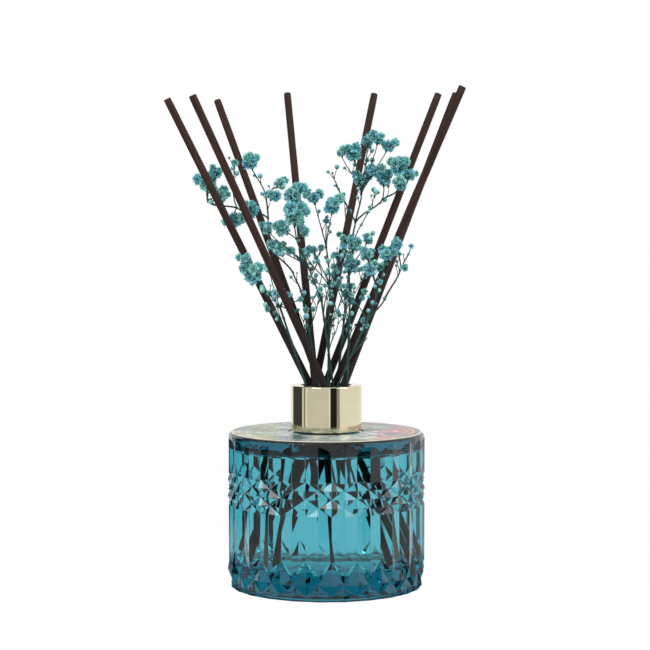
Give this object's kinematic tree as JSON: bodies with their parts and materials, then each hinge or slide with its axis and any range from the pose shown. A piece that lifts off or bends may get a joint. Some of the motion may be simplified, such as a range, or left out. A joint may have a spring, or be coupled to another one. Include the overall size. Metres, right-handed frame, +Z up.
{
  "type": "reed diffuser",
  "caption": "Fragrance reed diffuser: round teal pressed glass bottle with a gold neck collar, dark fibre reeds and dried flower sprigs that scent a room.",
  "frame": {"origin": "centre of the bottle's base, on the surface it stands on", "axes": "+Z up along the bottle's axis; -Y towards the viewer, +X to the viewer's right"},
  "size_m": [0.1435, 0.1087, 0.24],
  "materials": {
    "teal_glass": "polished pressed glass, teal",
    "oil": "clear liquid",
    "label_print": "satin printed film",
    "gold": "polished, pale gold anodised",
    "liner_plastic": "moulded",
    "seal_foam": "foam",
    "reed_fibre": "matte drawn fibre, dark brown",
    "stem_dyed": "dried dyed stalk",
    "petals_dyed": "dried dyed petals"
  },
  "bodies": {
    "bottle": {"glass_bottle": "teal_glass", "fragrance_oil": "oil", "top_label": "label_print"},
    "seal": {"neck_seal": "seal_foam"},
    "collar": {"collar_shell": "gold", "collar_liner": "liner_plastic"},
    "reed_1": {"reed_1": "reed_fibre"},
    "reed_2": {"reed_2": "reed_fibre"},
    "reed_3": {"reed_3": "reed_fibre"},
    "reed_4": {"reed_4": "reed_fibre"},
    "reed_5": {"reed_5": "reed_fibre"},
    "reed_6": {"reed_6": "reed_fibre"},
    "reed_7": {"reed_7": "reed_fibre"},
    "reed_8": {"reed_8": "reed_fibre"},
    "sprig_1": {"sprig_1_stem": "stem_dyed", "sprig_1_blossoms": "petals_dyed"},
    "sprig_2": {"sprig_2_stem": "stem_dyed", "sprig_2_blossoms": "petals_dyed"},
    "sprig_3": {"sprig_3_stem": "stem_dyed", "sprig_3_blossoms": "petals_dyed"},
    "sprig_4": {"sprig_4_stem": "stem_dyed", "sprig_4_blossoms": "petals_dyed"},
    "sprig_5": {"sprig_5_stem": "stem_dyed", "sprig_5_blossoms": "petals_dyed"},
    "sprig_6": {"sprig_6_stem": "stem_dyed", "sprig_6_blossoms": "petals_dyed"},
    "sprig_7": {"sprig_7_stem": "stem_dyed", "sprig_7_blossoms": "petals_dyed"}
  },
  "joints": [
    {"name": "collar_rise", "type": "slide", "parent": "bottle", "child": "seal", "axis": [0, 0, 1], "range_m": [0, 0.0016]},
    {"name": "collar_turn", "type": "hinge", "parent": "seal", "child": "collar", "pos_m": [0, 0, 0.085], "axis": [0, 0, 1], "range_deg": [0, 120]},
    {"name": "reed_1_draw", "type": "slide", "parent": "bottle", "child": "reed_1", "axis": [-0.4419, -0.0621, 0.8949], "range_m": [0, 0.1]},
    {"name": "reed_2_draw", "type": "slide", "parent": "bottle", "child": "reed_2", "axis": [-0.3971, -0.2201, 0.891], "range_m": [0, 0.1]},
    {"name": "reed_3_draw", "type": "slide", "parent": "bottle", "child": "reed_3", "axis": [-0.3375, 0.2543, 0.9063], "range_m": [0, 0.1]},
    {"name": "reed_4_draw", "type": "slide", "parent": "bottle", "child": "reed_4", "axis": [-0.0926, 0.3713, 0.9239], "range_m": [0, 0.1]},
    {"name": "reed_5_draw", "type": "slide", "parent": "bottle", "child": "reed_5", "axis": [0.1913, 0.3314, 0.9239], "range_m": [0, 0.1]},
    {"name": "reed_6_draw", "type": "slide", "parent": "bottle", "child": "reed_6", "axis": [0.3614, 0.1685, 0.9171], "range_m": [0, 0.1]},
    {"name": "reed_7_draw", "type": "slide", "parent": "bottle", "child": "reed_7", "axis": [0.3528, 0.2857, 0.891], "range_m": [0, 0.1]},
    {"name": "reed_8_draw", "type": "slide", "parent": "bottle", "child": "reed_8", "axis": [0.3798, -0.1853, 0.9063], "range_m": [0, 0.1]},
    {"name": "sprig_1_draw", "type": "slide", "parent": "bottle", "child": "sprig_1", "axis": [-0.3047, -0.1553, 0.9397], "range_m": [0, 0.06]},
    {"name": "sprig_2_draw", "type": "slide", "parent": "bottle", "child": "sprig_2", "axis": [-0.1915, 0.1983, 0.9613], "range_m": [0, 0.06]},
    {"name": "sprig_3_draw", "type": "slide", "parent": "bottle", "child": "sprig_3", "axis": [-0.1282, -0.2628, 0.9563], "range_m": [0, 0.06]},
    {"name": "sprig_4_draw", "type": "slide", "parent": "bottle", "child": "sprig_4", "axis": [0.0235, 0.1018, 0.9945], "range_m": [0, 0.06]},
    {"name": "sprig_5_draw", "type": "slide", "parent": "bottle", "child": "sprig_5", "axis": [0.1037, -0.0127, 0.9945], "range_m": [0, 0.06]},
    {"name": "sprig_6_draw", "type": "slide", "parent": "bottle", "child": "sprig_6", "axis": [0.3973, -0.1853, 0.8988], "range_m": [0, 0.06]},
    {"name": "sprig_7_draw", "type": "slide", "parent": "bottle", "child": "sprig_7", "axis": [0.0315, -0.1177, 0.9925], "range_m": [0, 0.06]}
  ],
  "couplings": [
    {"joint": "collar_rise", "follows": "collar_turn", "m_per_rad": 0.00063662}
  ]
}
